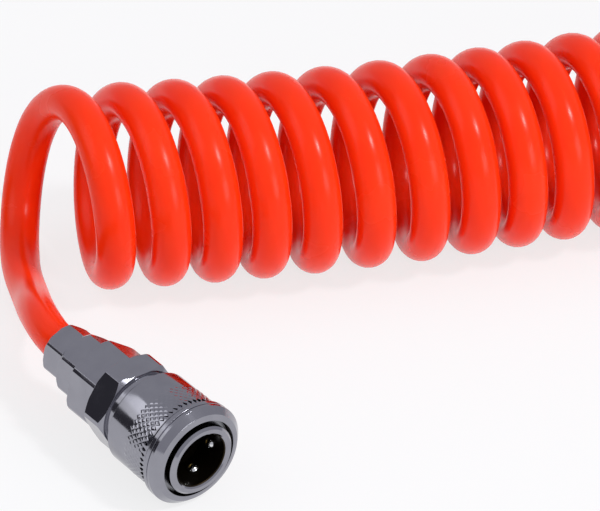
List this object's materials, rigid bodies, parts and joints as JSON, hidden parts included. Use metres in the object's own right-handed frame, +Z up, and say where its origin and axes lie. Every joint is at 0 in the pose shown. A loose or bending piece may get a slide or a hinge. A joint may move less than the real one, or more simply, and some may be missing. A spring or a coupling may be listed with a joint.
{
  "type": "coiled air hose",
  "caption": "Wound polyurethane air hose with a push-to-connect socket on one end and the matching plug on the other.",
  "frame": {"origin": "centre of the footprint, on the surface that the hose lies on", "axes": "+X along the coil, from the socket's end to the plug's end; +Z up; the socket points towards -Y and the plug towards +Y"},
  "size_m": [0.2368, 0.1672, 0.0447],
  "materials": {
    "hose": "glossy orange-red polyurethane",
    "plated_steel": "bright nickel-chrome plate",
    "spring_steel": "drawn spring wire",
    "ball_steel": "polished",
    "valve_brass": "turned",
    "seal": "matt black nitrile"
  },
  "bodies": {
    "hose": {"hose_coil": "hose", "hose_tail_socket": "hose", "hose_tail_plug": "hose", "clamp_nut_socket": "plated_steel", "clamp_nut_plug": "plated_steel", "hose_stem": "plated_steel", "body_gasket": "seal", "socket_body": "plated_steel", "plug_packing": "seal", "snap_ring": "spring_steel", "sleeve_spring": "spring_steel", "valve_spring": "spring_steel", "plug_body": "plated_steel"},
    "sleeve": {"release_sleeve": "plated_steel"},
    "valve": {"valve_poppet": "valve_brass", "valve_seal": "seal"},
    "ball_1": {"locking_ball_1": "ball_steel"},
    "ball_2": {"locking_ball_2": "ball_steel"},
    "ball_3": {"locking_ball_3": "ball_steel"},
    "ball_4": {"locking_ball_4": "ball_steel"},
    "ball_5": {"locking_ball_5": "ball_steel"},
    "ball_6": {"locking_ball_6": "ball_steel"}
  },
  "joints": [
    {"name": "sleeve_slide", "type": "slide", "parent": "hose", "child": "sleeve", "axis": [-0.3672, 0.9288, 0.0506], "range_m": [0, 0.0022], "stiffness_N_per_m": 1500, "springref_m": -0.004, "deforming": ["sleeve_spring"]},
    {"name": "valve_slide", "type": "slide", "parent": "hose", "child": "valve", "axis": [-0.3672, 0.9288, 0.0506], "range_m": [0, 0.0024], "stiffness_N_per_m": 800, "springref_m": -0.004, "deforming": ["valve_spring"]},
    {"name": "ball_slide_1", "type": "slide", "parent": "hose", "child": "ball_1", "axis": [-0.3159, -0.1757, 0.9324], "range_m": [0, 0.00075]},
    {"name": "ball_slide_2", "type": "slide", "parent": "hose", "child": "ball_2", "axis": [-0.9156, -0.3705, 0.1562], "range_m": [0, 0.00075]},
    {"name": "ball_slide_3", "type": "slide", "parent": "hose", "child": "ball_3", "axis": [-0.5997, -0.1948, -0.7762], "range_m": [0, 0.00075]},
    {"name": "ball_slide_4", "type": "slide", "parent": "hose", "child": "ball_4", "axis": [0.3159, 0.1757, -0.9324], "range_m": [0, 0.00075]},
    {"name": "ball_slide_5", "type": "slide", "parent": "hose", "child": "ball_5", "axis": [0.9156, 0.3705, -0.1562], "range_m": [0, 0.00075]},
    {"name": "ball_slide_6", "type": "slide", "parent": "hose", "child": "ball_6", "axis": [0.5997, 0.1948, 0.7762], "range_m": [0, 0.00075]}
  ],
  "couplings": [
    {"joint": "ball_slide_1", "follows": "sleeve_slide", "ratio": 0.3409},
    {"joint": "ball_slide_2", "follows": "sleeve_slide", "ratio": 0.3409},
    {"joint": "ball_slide_3", "follows": "sleeve_slide", "ratio": 0.3409},
    {"joint": "ball_slide_4", "follows": "sleeve_slide", "ratio": 0.3409},
    {"joint": "ball_slide_5", "follows": "sleeve_slide", "ratio": 0.3409},
    {"joint": "ball_slide_6", "follows": "sleeve_slide", "ratio": 0.3409}
  ]
}
